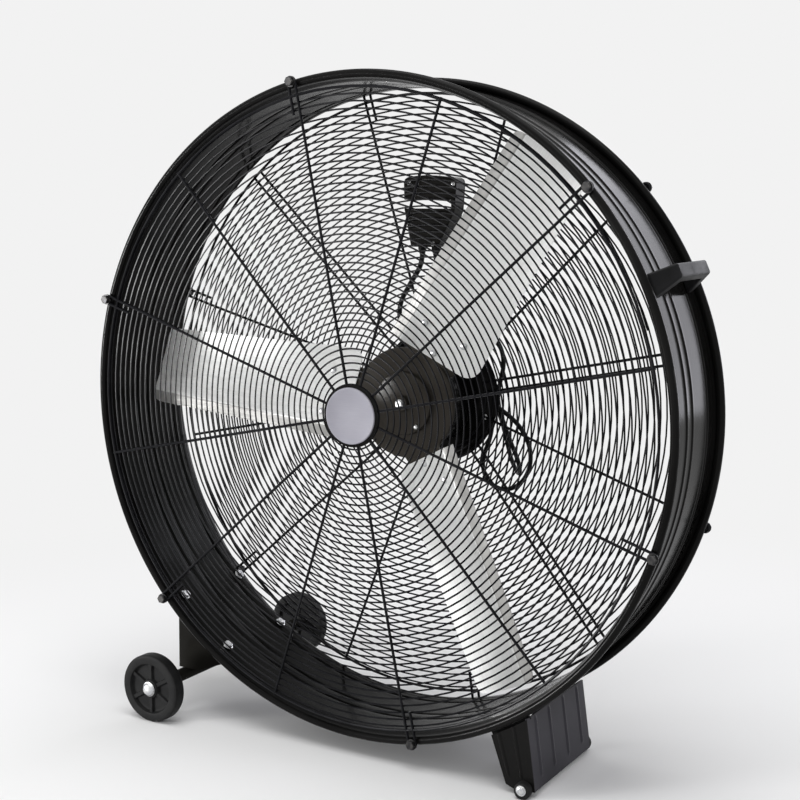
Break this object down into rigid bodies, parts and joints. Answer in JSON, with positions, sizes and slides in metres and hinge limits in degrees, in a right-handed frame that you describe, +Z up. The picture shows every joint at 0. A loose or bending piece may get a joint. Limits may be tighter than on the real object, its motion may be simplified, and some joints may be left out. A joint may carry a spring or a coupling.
{
  "type": "drum fan",
  "caption": "Portable drum fan: a short wide drum with spiral wire guards, pitched paddle blades on a motor, side wheels on an axle, a folded foot and a carry handle.",
  "frame": {"origin": "centre of the bottom of the bounding box, on the floor, measured without the power cord's own pieces", "axes": "+Z up; -Y the front, where the air leaves; Y along the drum's and rotor's axis; the wheels at -X and the foot at +X"},
  "size_m": [1.1, 0.498, 1.13],
  "materials": {
    "black_paint": "glossy black powder paint on sheet steel",
    "black_wire": "black powder-coated round steel wire",
    "grey_disc": "plain satin grey disc, bare",
    "aluminium": "mill-finish rolled aluminium sheet",
    "zinc": "bright zinc-plated steel",
    "dark_steel": "black oxide steel, slight sheen",
    "core_steel": "bare laminated electrical steel",
    "black_plastic": "black moulded plastic with a fine grain",
    "black_rubber": "black solid rubber and cord jacket, matt"
  },
  "bodies": {
    "housing": {"drum_wall": "black_paint", "front_rim": "black_paint", "rear_rim": "black_paint", "front_guard_frame": "black_wire", "front_guard_spiral": "black_wire", "rear_guard_frame": "black_wire", "rear_guard_spiral": "black_wire", "front_hub_plate": "black_paint", "badge_disc": "grey_disc", "motor_mount_plate": "black_paint", "motor_body": "black_paint", "motor_front_bell": "black_paint", "motor_rear_bell": "black_paint", "front_bearing": "zinc", "rear_bearing": "zinc", "control_box": "black_paint", "control_box_cover": "black_paint", "speed_switch": "black_plastic", "motor_lead": "black_plastic", "carry_handle": "black_plastic", "wheel_bracket": "black_paint", "axle_tube": "black_paint", "wheel_axle": "zinc", "foot_bracket": "black_paint", "front_rubber_foot": "black_rubber", "rear_rubber_foot": "black_rubber", "front_foot_bolt": "zinc", "rear_foot_bolt": "zinc", "cord_gland": "black_plastic", "power_cord": "black_rubber", "power_cord_hank": "black_rubber", "power_cord_tail": "black_rubber", "power_plug": "black_rubber", "hank_tie": "black_plastic", "cord_hook": "dark_steel", "front_guard_bolt_1": "dark_steel", "rear_guard_bolt_1": "dark_steel", "front_guard_bolt_2": "dark_steel", "rear_guard_bolt_2": "dark_steel", "front_guard_bolt_3": "dark_steel", "rear_guard_bolt_3": "dark_steel", "front_guard_bolt_4": "dark_steel", "rear_guard_bolt_4": "dark_steel", "front_guard_bolt_5": "dark_steel", "rear_guard_bolt_5": "dark_steel", "front_guard_bolt_6": "dark_steel", "rear_guard_bolt_6": "dark_steel", "bracket_bolt_1": "zinc", "bracket_bolt_2": "zinc", "bracket_bolt_3": "zinc", "bracket_bolt_4": "zinc"},
    "rotor": {"motor_shaft": "zinc", "rotor_core": "core_steel", "hub_spider": "dark_steel", "blade_1": "aluminium", "blade_2": "aluminium", "blade_3": "aluminium"},
    "front_wheel": {"front_wheel": "black_rubber"},
    "rear_wheel": {"rear_wheel": "black_rubber"},
    "knob": {"speed_knob": "black_plastic"}
  },
  "joints": [
    {"name": "rotor_spin", "type": "hinge", "parent": "housing", "child": "rotor", "pos_m": [0, -0.062, 0.58], "axis": [0, 1, 0], "continuous": true},
    {"name": "front_wheel_spin", "type": "hinge", "parent": "housing", "child": "front_wheel", "pos_m": [-0.4, -0.228, 0.061], "axis": [0, 1, 0], "continuous": true},
    {"name": "rear_wheel_spin", "type": "hinge", "parent": "housing", "child": "rear_wheel", "pos_m": [-0.4, 0.228, 0.061], "axis": [0, 1, 0], "continuous": true},
    {"name": "speed_knob_turn", "type": "hinge", "parent": "housing", "child": "knob", "pos_m": [-0.005, 0.1076, 0.944], "axis": [0, 1, 0], "range_deg": [0, 120]}
  ]
}
